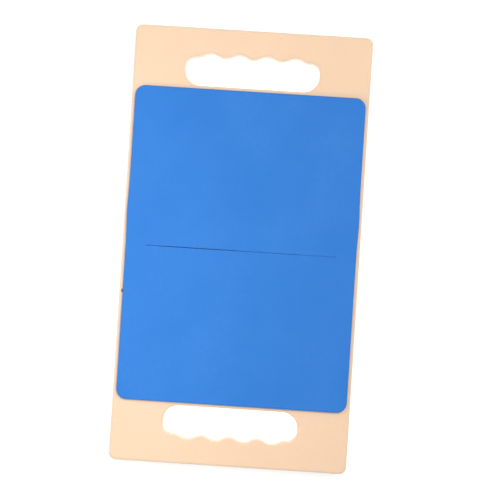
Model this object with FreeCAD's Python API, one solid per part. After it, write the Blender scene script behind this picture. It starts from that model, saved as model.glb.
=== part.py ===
import FreeCAD, Part
import math
import os

# A flat, laminated foam board with a hand hole at each end and a softer foam pad on its top face.
#
# Frame, in millimetres: the origin is at the middle of the underside, +Z is up through the pad,
# +Y runs along the length and +X across the width. Both ends are the same, mirrored in Y.

# Board: one sheet of closed-cell foam.
BOARD_LENGTH = 380.0
BOARD_WIDTH = 207.0
BOARD_THICKNESS = 20.0
BOARD_CORNER_RADIUS = 6.0
BOARD_EDGE_ROUND = 2.0

# Hand holes: a straight side towards the pad, and finger recesses in the side towards the end.
HOLE_WIDTH = 117.4
HOLE_INNER_Y = 139.6
HOLE_RIDGE_Y = 165.2
HOLE_INNER_CORNER_RADIUS = 14.0
HOLE_OUTER_CORNER_RADIUS = 8.5
HOLE_EDGE_ROUND = 1.5
FINGERS = 4
FINGER_PITCH = 24.5
RECESS_RADIUS = 12.5
RIDGE_RADIUS = 11.0

# Adhesive film between the board and the pad, stopping short of the pad's edge all round.
FILM_THICKNESS = 0.2
FILM_SETBACK = 1.5

# Pad: a thinner sheet of foam, with a hairline slit cut right through it across the middle.
PAD_LENGTH = 273.4
PAD_WIDTH = 200.6
PAD_THICKNESS = 3.0
PAD_CORNER_RADIUS = 9.0
PAD_EDGE_ROUND = 0.8
SLIT_LENGTH = 165.0
SLIT_WIDTH = 0.8
SLIT_Y = -2.1

# Heights of the layers, one on the other.
FILM_Z = BOARD_THICKNESS
PAD_Z = FILM_Z + FILM_THICKNESS
PAD_TOP_Z = PAD_Z + PAD_THICKNESS

# A cutting tool runs this far past each face that it cuts through.
OVERCUT = 1.0

# Two points or two heights closer than this are the same.
SAME = 1e-6


def point(x, y):
    return FreeCAD.Vector(x, y, 0.0)


def line(start, end):
    return Part.LineSegment(start, end).toShape()


def arc(centre, radius, start_degrees, end_degrees):
    """An arc about centre, from one angle to the other, bulging to the side halfway between them."""
    through = []
    for degrees in (start_degrees, (start_degrees + end_degrees) / 2, end_degrees):
        angle = math.radians(degrees)
        through.append(centre + point(radius * math.cos(angle), radius * math.sin(angle)))
    return Part.Arc(*through).toShape()


def closed(arcs):
    """One wire through the arcs in their order, with a straight edge wherever two don't meet."""
    edges = []
    for index, edge in enumerate(arcs):
        following = arcs[(index + 1) % len(arcs)]
        end = edge.lastVertex().Point
        start = following.firstVertex().Point
        edges.append(edge)
        if end.distanceToPoint(start) > SAME:
            edges.append(line(end, start))
    return Part.Wire(edges)


def rounded_rectangle(width, length, radius, centre_y=0.0):
    """A closed wire on Z = 0, with the same radius at all four corners."""
    x = width / 2 - radius
    y = length / 2 - radius
    corners = []
    for quarter, (side_x, side_y) in enumerate(((1, 1), (-1, 1), (-1, -1), (1, -1))):
        centre = point(side_x * x, side_y * y + centre_y)
        corners.append(arc(centre, radius, 90.0 * quarter, 90.0 * (quarter + 1)))
    return closed(corners)


def hand_hole_wire():
    """The hole at the +Y end. Its outer side is a row of finger recesses with a ridge between each
    two: each recess is an arc tangent to the smaller arcs of its ridges."""
    half_width = HOLE_WIDTH / 2
    half_pitch = FINGER_PITCH / 2
    reach = RECESS_RADIUS + RIDGE_RADIUS
    rise = math.sqrt(reach**2 - half_pitch**2)
    lean = math.degrees(math.atan2(rise, half_pitch))
    ridge_centre_y = HOLE_RIDGE_Y + RIDGE_RADIUS
    last_ridge_x = FINGERS / 2 * FINGER_PITCH

    inner_x = half_width - HOLE_INNER_CORNER_RADIUS
    inner_y = HOLE_INNER_Y + HOLE_INNER_CORNER_RADIUS
    outer_x = half_width - HOLE_OUTER_CORNER_RADIUS
    outer_y = HOLE_RIDGE_Y - HOLE_OUTER_CORNER_RADIUS

    arcs = [
        arc(point(inner_x, inner_y), HOLE_INNER_CORNER_RADIUS, -90.0, 0.0),
        arc(point(outer_x, outer_y), HOLE_OUTER_CORNER_RADIUS, 0.0, 90.0),
    ]
    for finger in range(FINGERS):
        ridge = point(last_ridge_x - finger * FINGER_PITCH, ridge_centre_y)
        recess = ridge - point(half_pitch, rise)
        next_ridge = ridge - point(FINGER_PITCH, 0.0)
        arcs.append(arc(ridge, RIDGE_RADIUS, 270.0, 180.0 + lean))
        arcs.append(arc(recess, RECESS_RADIUS, lean, 180.0 - lean))
        arcs.append(arc(next_ridge, RIDGE_RADIUS, 360.0 - lean, 270.0))
    arcs.append(arc(point(-outer_x, outer_y), HOLE_OUTER_CORNER_RADIUS, 90.0, 180.0))
    arcs.append(arc(point(-inner_x, inner_y), HOLE_INNER_CORNER_RADIUS, 180.0, 270.0))
    return closed(arcs)


def slab(wire, bottom, thickness):
    """The wire's inside as a solid, from bottom up."""
    solid = Part.Face(wire).extrude(FreeCAD.Vector(0.0, 0.0, thickness))
    solid.translate(FreeCAD.Vector(0.0, 0.0, bottom))
    return solid


def lies_flat_at(edge, heights):
    box = edge.BoundBox
    return box.ZLength < SAME and any(abs(box.ZMin - z) < SAME for z in heights)


def is_round_a_hand_hole(edge):
    """Whether the edge lies within the strip across the board that a hand hole is cut in."""
    box = edge.BoundBox
    farthest_x = max(abs(box.XMin), abs(box.XMax))
    nearest_y = min(abs(box.YMin), abs(box.YMax))
    farthest_y = max(abs(box.YMin), abs(box.YMax))
    fits_across = farthest_x < HOLE_WIDTH / 2 + OVERCUT
    fits_along = nearest_y > HOLE_INNER_Y - OVERCUT and farthest_y < HOLE_RIDGE_Y + RIDGE_RADIUS
    return fits_across and fits_along


def rounded(solid, radius, heights, choose=lambda edge: True):
    """The solid with its chosen edges at these heights rounded."""
    edges = [edge for edge in solid.Edges if lies_flat_at(edge, heights) and choose(edge)]
    return solid.makeFillet(radius, edges)


def foam_board():
    faces = (0.0, BOARD_THICKNESS)
    outline = rounded_rectangle(BOARD_WIDTH, BOARD_LENGTH, BOARD_CORNER_RADIUS)
    board = rounded(slab(outline, 0.0, BOARD_THICKNESS), BOARD_EDGE_ROUND, faces)

    punch = slab(hand_hole_wire(), -OVERCUT, BOARD_THICKNESS + 2 * OVERCUT)
    other_end = punch.mirror(FreeCAD.Vector(0.0, 0.0, 0.0), FreeCAD.Vector(0.0, 1.0, 0.0))
    pierced = board.cut(punch).cut(other_end)
    return rounded(pierced, HOLE_EDGE_ROUND, faces, is_round_a_hand_hole)


def slit(bottom, thickness):
    """The knife cut as a narrow slot with round ends."""
    outline = rounded_rectangle(SLIT_LENGTH, SLIT_WIDTH, SLIT_WIDTH / 2, SLIT_Y)
    return slab(outline, bottom - OVERCUT, thickness + 2 * OVERCUT)


def deck_pad():
    outline = rounded_rectangle(PAD_WIDTH, PAD_LENGTH, PAD_CORNER_RADIUS)
    pad = rounded(slab(outline, PAD_Z, PAD_THICKNESS), PAD_EDGE_ROUND, (PAD_TOP_Z,))
    return pad.cut(slit(PAD_Z, PAD_THICKNESS))


def adhesive_film():
    outline = rounded_rectangle(
        PAD_WIDTH - 2 * FILM_SETBACK,
        PAD_LENGTH - 2 * FILM_SETBACK,
        PAD_CORNER_RADIUS - FILM_SETBACK,
    )
    return slab(outline, FILM_Z, FILM_THICKNESS)


SUB_PARTS = {
    "foam_board": foam_board,
    "adhesive_film": adhesive_film,
    "deck_pad": deck_pad,
}


def main():
    os.makedirs("parts", exist_ok=True)
    for name, make in SUB_PARTS.items():
        shape = make()
        shape.exportStep("parts/" + name + ".step")
        box = shape.BoundBox
        print(
            name,
            "solids", len(shape.Solids),
            "valid", shape.isValid(),
            "volume", round(shape.Volume),
            "z", round(box.ZMin, 3), round(box.ZMax, 3),
        )


main()
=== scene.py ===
import math

import bmesh
import bpy
import numpy as np
from mathutils import Euler, Matrix, Vector, geometry, kdtree, noise


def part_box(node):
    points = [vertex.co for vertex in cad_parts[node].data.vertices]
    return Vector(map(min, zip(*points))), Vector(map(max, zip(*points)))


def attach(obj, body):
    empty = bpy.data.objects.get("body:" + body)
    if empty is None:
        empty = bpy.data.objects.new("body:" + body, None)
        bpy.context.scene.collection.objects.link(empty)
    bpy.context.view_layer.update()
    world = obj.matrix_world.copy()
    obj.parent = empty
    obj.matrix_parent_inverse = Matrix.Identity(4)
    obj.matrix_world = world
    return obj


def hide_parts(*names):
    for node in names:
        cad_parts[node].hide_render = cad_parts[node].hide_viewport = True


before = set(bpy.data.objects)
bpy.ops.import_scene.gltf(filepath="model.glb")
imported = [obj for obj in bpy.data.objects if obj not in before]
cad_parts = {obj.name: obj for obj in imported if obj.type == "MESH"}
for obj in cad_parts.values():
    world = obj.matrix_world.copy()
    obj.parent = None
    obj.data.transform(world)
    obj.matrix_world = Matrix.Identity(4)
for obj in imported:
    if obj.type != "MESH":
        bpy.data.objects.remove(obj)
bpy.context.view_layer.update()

# A foam board with a foam pad bonded to its top face. All lengths are in metres, in the CAD frame:
# +Z up through the pad, +Y along the board, the origin in the middle of the underside.
MM = 0.001
BOARD_LOW, BOARD_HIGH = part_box("foam_board")
PAD_LOW, PAD_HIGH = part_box("deck_pad")

# What a box can't say about the board's shape, as the CAD has it.
BOARD_CORNER = 6.0 * MM
BOARD_EDGE = 2.0 * MM
HOLE_HALF_WIDTH = 58.7 * MM
HOLE_INNER_Y = 139.6 * MM
HOLE_RIDGE_Y = 165.2 * MM
HOLE_INNER_CORNER = 14.0 * MM
HOLE_OUTER_CORNER = 8.5 * MM
HOLE_EDGE = 1.5 * MM
FINGERS = 4
FINGER_PITCH = 24.5 * MM
RECESS_RADIUS = 12.5 * MM
RIDGE_RADIUS = 11.0 * MM

# The same for the pad and its knife cut.
PAD_CORNER = 9.0 * MM
PAD_EDGE_ACROSS = 1.1 * MM
PAD_EDGE_DOWN = 0.8 * MM
PAD_RIM_WIDTH = 1.5 * MM
SLIT_HALF_LENGTH = 82.5 * MM
SLIT_Y = -2.1 * MM
SLIT_LIP = 0.4 * MM
SLIT_TIP = 0.15 * MM

# The cut closes towards the pad's underside, to this part of its gap at the top.
SLIT_CLOSED = 0.05

# The pad's rim reaches down past the glue and nearly touches the board. Inside of it, the underside
# steps up to the glue over this slope.
PAD_FOOT_ROUND = 0.2 * MM
PAD_FOOT_GAP = 0.02 * MM
PAD_RIM_SLOPE = 0.3 * MM
SLIT_FOOT_ROUND = 0.02 * MM

# The pad's left edge has a small dent, and a dark spot is painted over it and the board just outside
# it.
DARK_SPOT = Vector((-100.8, -42.8, 21.5)) * MM
DARK_SPOT_COLOUR = (0.05, 0.075, 0.12)

# How bright the floor glows, how much more it does under the hand holes, how strongly the room
# lights the board, and how bright the room's walls look.
FLOOR_GLOW = 0.54
HOLE_GLOW = 0.49
ROOM_LIGHT = 0.4
WALLS_SEEN = 0.79

# How finely the meshes are drawn.
OUTLINE_STEP = 1.2 * MM
CAP_STEP = 3.0 * MM
BOARD_ROUND_STEPS = 5
PAD_ROUND_STEPS = 6
WALL_ROWS = 7
SUPPORT = 0.8 * MM

# Two points closer than this are the same.
SAME = 1e-7


# ---------------------------------------------------------------- outlines

def arc(centre_x, centre_y, radius, start_degrees, end_degrees):
    """Points along an arc, both ends included."""
    turn = math.radians(end_degrees - start_degrees)
    steps = max(4, math.ceil(abs(turn) * radius / OUTLINE_STEP))
    angles = [math.radians(start_degrees) + turn * i / steps for i in range(steps + 1)]
    return [Vector((centre_x + radius * math.cos(a), centre_y + radius * math.sin(a))) for a in angles]


def closed(corners):
    """One loop of evenly spaced points through these points, with long straight stretches filled in."""
    loop = []
    for here, there in zip(corners, corners[1:] + corners[:1]):
        gap = (there - here).length
        if gap < SAME:
            continue
        steps = max(1, math.ceil(gap / OUTLINE_STEP - 0.5))
        loop += [here.lerp(there, i / steps) for i in range(steps)]
    return loop


def rounded_rectangle(low, high, radius):
    """Anticlockwise, so that the foam is on the left of the line."""
    corners = ((high.x, high.y), (low.x, high.y), (low.x, low.y), (high.x, low.y))
    points = []
    for quarter, (x, y) in enumerate(corners):
        across = math.copysign(radius, x)
        along = math.copysign(radius, y)
        points += arc(x - across, y - along, radius, 90 * quarter, 90 * (quarter + 1))
    return closed(points)


def hand_hole(end):
    """A hand hole with finger recesses on its outer side, at the +Y end for 1 and the -Y end for -1.
    It runs clockwise, so that the foam is on the left of the line here too."""
    reach = RECESS_RADIUS + RIDGE_RADIUS
    rise = math.sqrt(reach**2 - (FINGER_PITCH / 2) ** 2)
    lean = math.degrees(math.atan2(rise, FINGER_PITCH / 2))
    inner_x = HOLE_HALF_WIDTH - HOLE_INNER_CORNER
    inner_y = HOLE_INNER_Y + HOLE_INNER_CORNER
    outer_x = HOLE_HALF_WIDTH - HOLE_OUTER_CORNER
    outer_y = HOLE_RIDGE_Y - HOLE_OUTER_CORNER
    ridge_y = HOLE_RIDGE_Y + RIDGE_RADIUS

    points = arc(inner_x, inner_y, HOLE_INNER_CORNER, -90, 0)
    points += arc(outer_x, outer_y, HOLE_OUTER_CORNER, 0, 90)
    for finger in range(FINGERS):
        ridge_x = (FINGERS / 2 - finger) * FINGER_PITCH
        recess_x = ridge_x - FINGER_PITCH / 2
        points += arc(ridge_x, ridge_y, RIDGE_RADIUS, 270, 180 + lean)
        points += arc(recess_x, ridge_y - rise, RECESS_RADIUS, lean, 180 - lean)
        points += arc(ridge_x - FINGER_PITCH, ridge_y, RIDGE_RADIUS, 360 - lean, 270)
    points += arc(-outer_x, outer_y, HOLE_OUTER_CORNER, 90, 180)
    points += arc(-inner_x, inner_y, HOLE_INNER_CORNER, 180, 270)
    loop = closed(points)
    if end > 0:
        return loop[::-1]
    return [Vector((p.x, -p.y)) for p in loop]


def smooth_step(start, stop, value):
    """0 before start and 1 after stop, with a smooth step between."""
    t = min(1.0, max(0.0, (value - start) / (stop - start)))
    return t * t * (3 - 2 * t)


def slit_half_gap(x):
    """Half the gap between the lips of the cut. It is most open left of the middle, much narrower
    right of it, and all but closed at its right end."""
    opens = smooth_step(-SLIT_HALF_LENGTH, -58 * MM, x)
    narrows = smooth_step(-25 * MM, 8 * MM, x)
    closes = smooth_step(48 * MM, 62 * MM, x)
    return (0.10 + 0.18 * opens - 0.19 * narrows - 0.06 * closes) * MM


def slit_outline(openness):
    """The knife cut as a loop, clockwise like the hand holes. Its gap is this part of the full gap."""
    steps = round(2 * SLIT_HALF_LENGTH / OUTLINE_STEP)
    xs = [SLIT_HALF_LENGTH * (2 * i / steps - 1) for i in range(steps + 1)]
    gaps = [openness * slit_half_gap(x) for x in xs]
    upper = [Vector((x, SLIT_Y + gap)) for x, gap in zip(xs, gaps)]
    lower = [Vector((x, SLIT_Y - gap)) for x, gap in zip(xs, gaps)]
    right_tip = [Vector((SLIT_HALF_LENGTH + SLIT_TIP, SLIT_Y))]
    left_tip = [Vector((-SLIT_HALF_LENGTH - SLIT_TIP, SLIT_Y))]
    return upper + right_tip + lower[::-1] + left_tip


def pad_outline():
    """The pad's edge. Its long sides swell a little just above the cut, and the left one has a nick."""
    swell_y, swell_reach, swell = 28 * MM, 16 * MM, 0.7 * MM
    nick_y, nick_reach, nick = DARK_SPOT.y, 1.2 * MM, 0.4 * MM
    loop = rounded_rectangle(PAD_LOW, PAD_HIGH, PAD_CORNER)
    for p in loop:
        at_side = smooth_step(PAD_HIGH.x - 2 * PAD_CORNER, PAD_HIGH.x, abs(p.x))
        outwards = math.copysign(at_side, p.x)
        p.x += outwards * swell * math.exp(-(((p.y - swell_y) / swell_reach) ** 2))
        if p.x < PAD_LOW.x / 2:
            p.x += nick * math.exp(-(((p.y - nick_y) / nick_reach) ** 2))
    return loop


# ---------------------------------------------------------------- meshes

def outward(loop):
    """The direction out of the foam at each point of a loop that has the foam on its left."""
    normals = []
    for i, here in enumerate(loop):
        along = loop[(i + 1) % len(loop)] - loop[i - 1]
        normals.append(Vector((along.y, -along.x)).normalized())
    return normals


def rounded_wall(top, bottom, top_across, top_down, bottom_across, bottom_down, steps):
    """A wall's section from the top face to the bottom face, as (distance in from the outline,
    height) pairs, with a rounded edge at each face and one support loop beyond each edge."""
    section = [(top_across + SUPPORT, top)]
    for i in range(steps + 1):
        angle = math.pi / 2 * i / steps
        inset = top_across * (1 - math.sin(angle))
        section.append((inset, top - top_down * (1 - math.cos(angle))))
    start, stop = top - top_down, bottom + bottom_down
    section += [(0.0, start + (stop - start) * i / WALL_ROWS) for i in range(1, WALL_ROWS)]
    for i in range(steps + 1):
        angle = math.pi / 2 * (1 - i / steps)
        inset = bottom_across * (1 - math.sin(angle))
        section.append((inset, bottom + bottom_down * (1 - math.cos(angle))))
    section.append((bottom_across + SUPPORT, bottom))
    return section


def add_wall(bm, loop, section, bottom_loop=None):
    """Sweeps the section along the loop, or from the loop at the top to another loop at the bottom.
    Returns the rings of vertices at the top and the bottom."""
    normals = outward(loop)
    top, bottom = section[0][1], section[-1][1]
    rings = []
    for inset, height in section:
        ring = []
        depth = (top - height) / (top - bottom)
        for point, end, normal in zip(loop, bottom_loop or loop, normals):
            at = point.lerp(end, depth) - normal * inset
            ring.append(bm.verts.new((at.x, at.y, height)))
        rings.append(ring)
    count = len(loop)
    for upper, lower in zip(rings, rings[1:]):
        for i in range(count):
            j = (i + 1) % count
            bm.faces.new((upper[i], lower[i], lower[j], upper[j]))
    return rings[0], rings[-1]


def inside(points, loops):
    """Which points lie in the foam: inside an odd number of the loops."""
    odd = np.zeros(len(points), bool)
    for loop in loops:
        a = np.array(loop)
        b = np.roll(a, -1, axis=0)
        for (ax, ay), (bx, by) in zip(a, b):
            if ay == by:
                continue
            spans = (ay > points[:, 1]) != (by > points[:, 1])
            crossing = ax + (points[:, 1] - ay) * (bx - ax) / (by - ay)
            odd ^= spans & (points[:, 0] < crossing)
    return odd


def net_within(loops, step):
    """Evenly spaced points in the foam, in rows that are shifted by half a step in turn. Points too
    near a loop are left out, because they would make slivers."""
    fixed = [p for loop in loops for p in loop]
    low, high = np.min(fixed, axis=0), np.max(fixed, axis=0)
    net = []
    for row, y in enumerate(np.arange(low[1] + step / 2, high[1], step * math.sqrt(3) / 2)):
        shift = step / 2 * (row % 2)
        net += [(x, y) for x in np.arange(low[0] + shift + step / 4, high[0], step)]
    net = np.array(net)
    nearest_fixed = kdtree.KDTree(len(fixed))
    for i, (x, y) in enumerate(fixed):
        nearest_fixed.insert((x, y, 0.0), i)
    nearest_fixed.balance()
    too_near = 0.6 * step
    return [(x, y) for x, y in net[inside(net, loops)] if nearest_fixed.find((x, y, 0.0))[2] > too_near]


def add_cap(bm, rings, faces_up):
    """Fills the flat face between the rings with an even net of triangles. They are worked out in
    millimetres, because the points would lie too close together in metres."""
    loops = [[(v.co.x / MM, v.co.y / MM) for v in ring] for ring in rings]
    height = rings[0][0].co.z
    edges = []
    for loop in loops:
        first = len(edges)
        edges += [(first + i, first + (i + 1) % len(loop)) for i in range(len(loop))]

    points = [Vector(p) for loop in loops for p in loop]
    points += [Vector(p) for p in net_within(loops, CAP_STEP / MM)]
    at, _, triangles, source, _, _ = geometry.delaunay_2d_cdt(points, edges, [], 0, 1e-6)
    known = [v for ring in rings for v in ring]
    corner = []
    for place, came_from in zip(at, source):
        if came_from and came_from[0] < len(known):
            corner.append(known[came_from[0]])
        else:
            corner.append(bm.verts.new((place.x * MM, place.y * MM, height)))
    centres = np.array([np.mean([at[i][:] for i in t], axis=0) for t in triangles])
    for t, keep in zip(triangles, inside(centres, loops)):
        if not keep:
            continue
        turn = (at[t[1]] - at[t[0]]).cross(at[t[2]] - at[t[0]])
        order = t if (turn > 0) == faces_up else t[::-1]
        bm.faces.new([corner[i] for i in order])


def unevenness(bm, ripple_depth, wave_depth):
    """Presses the skin in here and there, as a cut and handled foam sheet is: in short ripples a
    centimetre long and slow waves several centimetres long."""
    bm.normal_update()
    ripple_length, wave_length = 11 * MM, 55 * MM
    elsewhere = Vector((3.1, 7.7, 1.9))
    shifts = []
    for v in bm.verts:
        ripple = noise.noise(v.co / ripple_length) * 0.5 + 0.5
        wave = noise.noise(v.co / wave_length + elsewhere) * 0.5 + 0.5
        shifts.append(v.normal * -(ripple_depth * ripple + wave_depth * wave))
    for v, shift in zip(bm.verts, shifts):
        v.co += shift


def piece(name, bm, material):
    """A smoothly shaded object made of the mesh, in the scene."""
    mesh = bpy.data.meshes.new(name)
    for face in bm.faces:
        face.smooth = True
    bm.to_mesh(mesh)
    bm.free()
    mesh.materials.append(material)
    made = bpy.data.objects.new(name, mesh)
    bpy.context.scene.collection.objects.link(made)
    return made


def foam_board(material):
    """The board, with a hand hole at each end."""
    bottom, top = BOARD_LOW.z, BOARD_HIGH.z
    outer_wall = rounded_wall(top, bottom, *[BOARD_EDGE] * 4, BOARD_ROUND_STEPS)
    hole_wall = rounded_wall(top, bottom, *[HOLE_EDGE] * 4, BOARD_ROUND_STEPS)
    bm = bmesh.new()
    rings = [add_wall(bm, rounded_rectangle(BOARD_LOW, BOARD_HIGH, BOARD_CORNER), outer_wall)]
    for end in (1, -1):
        rings.append(add_wall(bm, hand_hole(end), hole_wall))
    add_cap(bm, [upper for upper, _ in rings], True)
    add_cap(bm, [lower for _, lower in rings], False)
    unevenness(bm, ripple_depth=0.04 * MM, wave_depth=0.12 * MM)
    return piece("board_foam_sheet", bm, material)


def deck_pad(material):
    """The pad, with the cut right through it. Its rim reaches down past the glue to the board, and
    the rest of its underside lies on the glue."""
    bottom, top = PAD_LOW.z, PAD_HIGH.z
    foot = BOARD_HIGH.z + PAD_FOOT_GAP
    top_round = (PAD_EDGE_ACROSS, PAD_EDGE_DOWN)
    outer_wall = rounded_wall(top, foot, *top_round, PAD_FOOT_ROUND, PAD_FOOT_ROUND, PAD_ROUND_STEPS)
    outer_wall[-1:] = [(PAD_RIM_WIDTH - PAD_RIM_SLOPE, foot), (PAD_RIM_WIDTH, bottom)]
    slit_edges = (SLIT_LIP, SLIT_LIP, SLIT_FOOT_ROUND, SLIT_FOOT_ROUND)
    slit_wall = rounded_wall(top, bottom, *slit_edges, PAD_ROUND_STEPS)
    bm = bmesh.new()
    rings = [
        add_wall(bm, pad_outline(), outer_wall),
        add_wall(bm, slit_outline(1.0), slit_wall, slit_outline(SLIT_CLOSED)),
    ]
    add_cap(bm, [upper for upper, _ in rings], True)
    add_cap(bm, [lower for _, lower in rings], False)
    return piece("deck_pad_foam_sheet", bm, material)


# ---------------------------------------------------------------- materials

def node(tree, kind, inputs=(), **settings):
    """A shader node with its settings made and its inputs set or linked."""
    made = tree.nodes.new(kind)
    for name, value in settings.items():
        setattr(made, name, value)
    for name, value in dict(inputs).items():
        if isinstance(value, bpy.types.NodeSocket):
            tree.links.new(value, made.inputs[name])
        else:
            made.inputs[name].default_value = value
    return made


def ramp(tree, factor, low, high):
    """0 below low and 1 above high, with a smooth step between."""
    return node(
        tree,
        "ShaderNodeMapRange",
        {"Value": factor, "From Min": low, "From Max": high},
        interpolation_type="SMOOTHSTEP",
    ).outputs["Result"]


def mix_colours(tree, factor, first, second):
    """The first colour where the factor is 0, and the second where it is 1."""
    made = node(tree, "ShaderNodeMix", {"Factor": factor}, data_type="RGBA")
    for socket, value in ((made.inputs[6], first), (made.inputs[7], second)):
        if isinstance(value, bpy.types.NodeSocket):
            tree.links.new(value, socket)
        else:
            socket.default_value = (*value, 1.0)
    return made.outputs[2]


def multiplied(tree, first, second):
    return node(tree, "ShaderNodeMath", {0: first, 1: second}, operation="MULTIPLY").outputs[0]


def added(tree, first, second):
    return node(tree, "ShaderNodeMath", {0: first, 1: second}, operation="ADD").outputs[0]


def coordinates(tree):
    """The place on the piece, in metres."""
    return node(tree, "ShaderNodeTexCoord").outputs["Object"]


def stretched(tree, place, scale):
    """The place scaled along each axis. A pattern read there is drawn out where the scale is small."""
    return node(tree, "ShaderNodeMapping", {"Vector": place, "Scale": scale}).outputs[0]


def blotches(tree, place, per_metre, detail):
    """Soft random blotches, from 0 to 1, this many to the metre."""
    inputs = {"Vector": place, "Scale": per_metre, "Detail": detail}
    return node(tree, "ShaderNodeTexNoise", inputs).outputs[0]


def cells(tree, place, per_metre):
    """Random packed cells, this many to the metre."""
    return node(tree, "ShaderNodeTexVoronoi", {"Vector": place, "Scale": per_metre}).outputs


def give_out(tree, shader):
    """Makes the shader the material's surface."""
    output = node(tree, "ShaderNodeOutputMaterial")
    tree.links.new(shader.outputs[0], output.inputs["Surface"])


def dark_spotted(tree, place, fray, colour):
    """The colour with a dark spot at the pad's edge, longer along the edge than across it."""
    squeeze = (1.0, 0.6, 0.4)
    offset = node(tree, "ShaderNodeVectorMath", {0: place, 1: DARK_SPOT}, operation="SUBTRACT")
    squeezed = node(
        tree, "ShaderNodeVectorMath", {0: offset.outputs[0], 1: squeeze}, operation="MULTIPLY"
    )
    reach = node(tree, "ShaderNodeVectorMath", {0: squeezed.outputs[0]}, operation="LENGTH")
    frayed = added(tree, reach.outputs["Value"], multiplied(tree, fray, 1.2 * MM))
    strength = multiplied(tree, ramp(tree, frayed, 2.3 * MM, 1.3 * MM), 0.9)
    return mix_colours(tree, strength, colour, DARK_SPOT_COLOUR)


def foam(name, skin, skin_shade, cut, pore_shade, pore_shade_strength, roughness):
    """Closed-cell foam. Faces that look up or down carry the fine, slightly cloudy skin, and the cut
    walls show the cells that the knife opened, in streaks where it dragged. Open pits in the skin and
    the hollows of the cells are darkened with painted shade, and the board's walls are lightened in
    part with painted light."""
    material = bpy.data.materials.new(name)
    material.use_nodes = True
    tree = material.node_tree
    tree.nodes.clear()
    place = coordinates(tree)
    normal = node(tree, "ShaderNodeNewGeometry").outputs["Normal"]
    rise = node(tree, "ShaderNodeSeparateXYZ", {"Vector": normal}).outputs["Z"]
    upright = node(tree, "ShaderNodeMath", {0: rise}, operation="ABSOLUTE").outputs[0]
    is_skin = ramp(tree, upright, 0.5, 0.97)

    cloud = blotches(tree, place, 22.0, 3.0)
    mottle = blotches(tree, place, 260.0, 2.0)
    grain = blotches(tree, place, 900.0, 2.0)
    streaks = blotches(tree, stretched(tree, place, (1.0, 1.0, 0.15)), 520.0, 3.0)
    skin_cells = cells(tree, place, 2600.0)["Distance"]
    cut_cells = cells(tree, place, 1500.0)["Distance"]

    # Here and there a cell near the skin is open, and the shade in its small hollow is painted on as a
    # dark pit.
    spots = cells(tree, place, 85.0)
    chance = node(tree, "ShaderNodeSeparateColor", {"Color": spots["Color"]}).outputs[0]
    small = ramp(tree, spots["Distance"], 0.075, 0.035)
    pore_shade_spots = multiplied(tree, small, ramp(tree, chance, 0.72, 0.74))

    # The skin, from its slow clouds to its grain and mottling, with the painted shade of its open pits.
    grainy = multiplied(tree, ramp(tree, grain, 0.35, 0.75), 0.35)
    mottly = multiplied(tree, ramp(tree, mottle, 0.35, 0.7), 0.8)
    clouded = mix_colours(tree, ramp(tree, cloud, 0.3, 0.7), skin, skin_shade)
    grained = mix_colours(tree, grainy, clouded, skin_shade)
    mottled = mix_colours(tree, mottly, grained, skin_shade)
    pore_shaded = mix_colours(tree, multiplied(tree, pore_shade_spots, pore_shade_strength), mottled, pore_shade)

    # The cut walls. On the board they are paler and creamier than the skin, partly the cut foam's own
    # colour and partly painted light.
    dragged = multiplied(tree, ramp(tree, streaks, 0.35, 0.75), 0.10)
    # The cells that the knife opened are painted darker towards their middles, as painted shade in
    # their hollows, and the drag streaks darken a little towards the same colour.
    opened = mix_colours(tree, ramp(tree, cut_cells, 0.1, 0.6), pore_shade, cut)
    streaked = mix_colours(tree, dragged, cut, pore_shade)
    walled = mix_colours(tree, 0.75, opened, streaked)
    colour = dark_spotted(tree, place, grain, mix_colours(tree, is_skin, walled, pore_shaded))

    skin_grain = added(tree, multiplied(tree, skin_cells, 3.0), multiplied(tree, grain, 5.0))
    skin_relief = added(tree, skin_grain, multiplied(tree, mottle, 9.0))
    cut_relief = added(tree, multiplied(tree, cut_cells, 2.2), multiplied(tree, streaks, 1.5))
    relief = node(
        tree,
        "ShaderNodeMix",
        {"Factor": is_skin, 2: cut_relief, 3: skin_relief},
        data_type="FLOAT",
    ).outputs[0]
    bump = node(tree, "ShaderNodeBump", {"Height": relief, "Strength": 0.35, "Distance": 0.08 * MM})
    rough = node(
        tree,
        "ShaderNodeMapRange",
        {
            "Value": cloud,
            "From Min": 0.3,
            "From Max": 0.7,
            "To Min": roughness - 0.05,
            "To Max": roughness + 0.06,
        },
    ).outputs["Result"]
    shader = node(
        tree,
        "ShaderNodeBsdfPrincipled",
        {
            "Base Color": colour,
            "Roughness": rough,
            "Normal": bump.outputs["Normal"],
            "Specular IOR Level": 0.35,
            "Sheen Weight": 0.08,
            "Sheen Roughness": 0.5,
        },
    )
    give_out(tree, shader)
    return material


def contact_adhesive():
    """A thin amber film with brush marks."""
    material = bpy.data.materials.new("contact_adhesive")
    material.use_nodes = True
    tree = material.node_tree
    tree.nodes.clear()
    strokes = blotches(tree, stretched(tree, coordinates(tree), (1.0, 9.0, 1.0)), 40.0, 4.0)
    thin, thick = (0.62, 0.52, 0.32), (0.50, 0.39, 0.20)
    colour = mix_colours(tree, ramp(tree, strokes, 0.3, 0.7), thin, thick)
    bump = node(tree, "ShaderNodeBump", {"Height": strokes, "Strength": 0.4, "Distance": 0.1 * MM})
    rough = node(
        tree,
        "ShaderNodeMapRange",
        {"Value": strokes, "To Min": 0.3, "To Max": 0.5},
    ).outputs["Result"]
    shader = node(
        tree,
        "ShaderNodeBsdfPrincipled",
        {"Base Color": colour, "Roughness": rough, "Normal": bump.outputs["Normal"]},
    )
    give_out(tree, shader)
    return material


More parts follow.
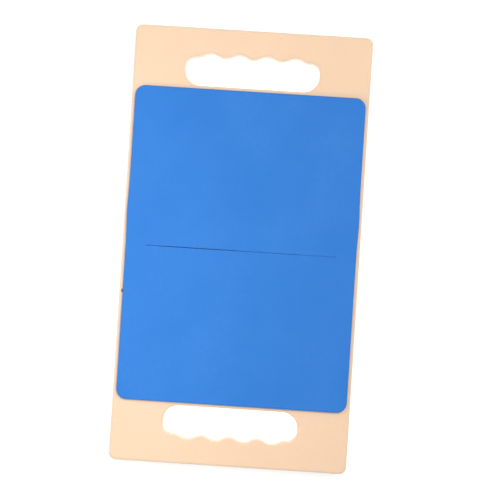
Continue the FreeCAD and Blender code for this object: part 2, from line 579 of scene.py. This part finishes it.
def light_table():
    """A white acrylic floor that is lit a little from below, and more under the hand holes, so that
    no shade gathers in them."""
    material = bpy.data.materials.new("light_table")
    material.use_nodes = True
    tree = material.node_tree
    place = node(tree, "ShaderNodeSeparateXYZ", {"Vector": coordinates(tree)})
    across = node(tree, "ShaderNodeMath", {0: place.outputs["X"]}, operation="ABSOLUTE").outputs[0]
    along = node(tree, "ShaderNodeMath", {0: place.outputs["Y"]}, operation="ABSOLUTE").outputs[0]
    fade = 4 * MM
    within_width = ramp(tree, across, HOLE_HALF_WIDTH + fade, HOLE_HALF_WIDTH - fade)
    past_inner_side = ramp(tree, along, HOLE_INNER_Y - fade, HOLE_INNER_Y + fade)
    before_outer_side = ramp(tree, along, HOLE_RIDGE_Y + 2 * fade, HOLE_RIDGE_Y)
    under_hole = multiplied(tree, multiplied(tree, within_width, past_inner_side), before_outer_side)
    # The extra glow under the hand holes is painted light, which clears the shade that would gather in
    # them.
    glow = added(tree, multiplied(tree, under_hole, HOLE_GLOW), FLOOR_GLOW)
    shader = tree.nodes["Principled BSDF"]
    shader.inputs["Base Color"].default_value = (0.62, 0.62, 0.62, 1.0)
    shader.inputs["Roughness"].default_value = 0.9
    shader.inputs["Specular IOR Level"].default_value = 0.0
    shader.inputs["Emission Color"].default_value = (1.0, 1.0, 1.0, 1.0)
    tree.links.new(glow, shader.inputs["Emission Strength"])
    return material


# ---------------------------------------------------------------- studio

def floor():
    """A flat square, far larger than the board."""
    half = 4.0
    corners = [(-half, -half, 0), (half, -half, 0), (half, half, 0), (-half, half, 0)]
    mesh = bpy.data.meshes.new("floor")
    mesh.from_pydata(corners, [], [(0, 1, 2, 3)])
    mesh.materials.append(light_table())
    made = bpy.data.objects.new("floor", mesh)
    bpy.context.scene.collection.objects.link(made)
    return made


def camera():
    """Nearly straight above the board, which is turned and shifted a little as the camera sees it."""
    distance = 1.45
    turned = Euler([math.radians(a) for a in (-0.24, -0.99, -3.68)])
    shifted = Vector((-7.85 * MM, 1.09 * MM, -distance))
    data = bpy.data.cameras.new("camera")
    data.lens = 120.1
    data.sensor_width = 36.0
    made = bpy.data.objects.new("camera", data)
    centre = (BOARD_LOW + BOARD_HIGH) / 2
    centre.z = BOARD_HIGH.z
    facing = turned.to_matrix().to_4x4().inverted()
    made.matrix_world = Matrix.Translation(centre) @ facing @ Matrix.Translation(-shifted)
    bpy.context.scene.collection.objects.link(made)
    bpy.context.scene.camera = made


def softbox(name, place, length, breadth, power):
    """A soft rectangular light that is aimed at the board, with its length level."""
    data = bpy.data.lights.new(name, "AREA")
    data.shape = "RECTANGLE"
    data.size = length
    data.size_y = breadth
    data.energy = power
    made = bpy.data.objects.new(name, data)
    made.location = place
    made.rotation_euler = (-Vector(place)).to_track_quat("-Z", "Y").to_euler()
    bpy.context.scene.collection.objects.link(made)


def lights():
    """A low light at the board's left side, a larger one high above it, and the pale room. The room's
    walls look as bright as the far floor does, so that no horizon shows."""
    softbox("key", (-0.185, -0.041, 0.25), 0.5, 0.15, 0.5)
    softbox("overhead", (0.5, 0.35, 1.4), 0.7, 0.7, 13.6)
    world = bpy.data.worlds.new("studio")
    world.use_nodes = True
    tree = world.node_tree
    seen = node(tree, "ShaderNodeLightPath").outputs["Is Camera Ray"]
    strength = node(
        tree,
        "ShaderNodeMapRange",
        {"Value": seen, "To Min": ROOM_LIGHT, "To Max": WALLS_SEEN},
    ).outputs["Result"]
    tree.nodes["Background"].inputs["Color"].default_value = (1.0, 1.0, 1.0, 1.0)
    tree.links.new(strength, tree.nodes["Background"].inputs["Strength"])
    bpy.context.scene.world = world
    bpy.context.scene.view_settings.view_transform = "Standard"


# ---------------------------------------------------------------- assembly

def main():
    camera()
    lights()
    floor()

    board_eva = foam(
        "beige_foam",
        skin=(0.88, 0.627, 0.435),
        skin_shade=(0.86, 0.607, 0.415),
        # Paler than the skin: partly the cut foam's own colour, partly painted light on the walls.
        cut=(0.89, 0.74, 0.58),
        # Painted shade for the open pits and cell hollows.
        pore_shade=(0.62, 0.40, 0.25),
        pore_shade_strength=0.4,
        roughness=0.72,
    )
    pad_eva = foam(
        "blue_foam",
        skin=(0.0228, 0.198, 0.635),
        skin_shade=(0.0208, 0.184, 0.603),
        cut=(0.026, 0.200, 0.620),
        # Painted shade for the open pits and cell hollows.
        pore_shade=(0.010, 0.090, 0.360),
        pore_shade_strength=0.15,
        roughness=0.68,
    )

    board = foam_board(board_eva)
    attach(board, "root")
    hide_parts("foam_board")

    pad = deck_pad(pad_eva)
    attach(pad, "root")
    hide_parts("deck_pad")

    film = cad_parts["adhesive_film"]
    film.data.materials.clear()
    film.data.materials.append(contact_adhesive())


main()
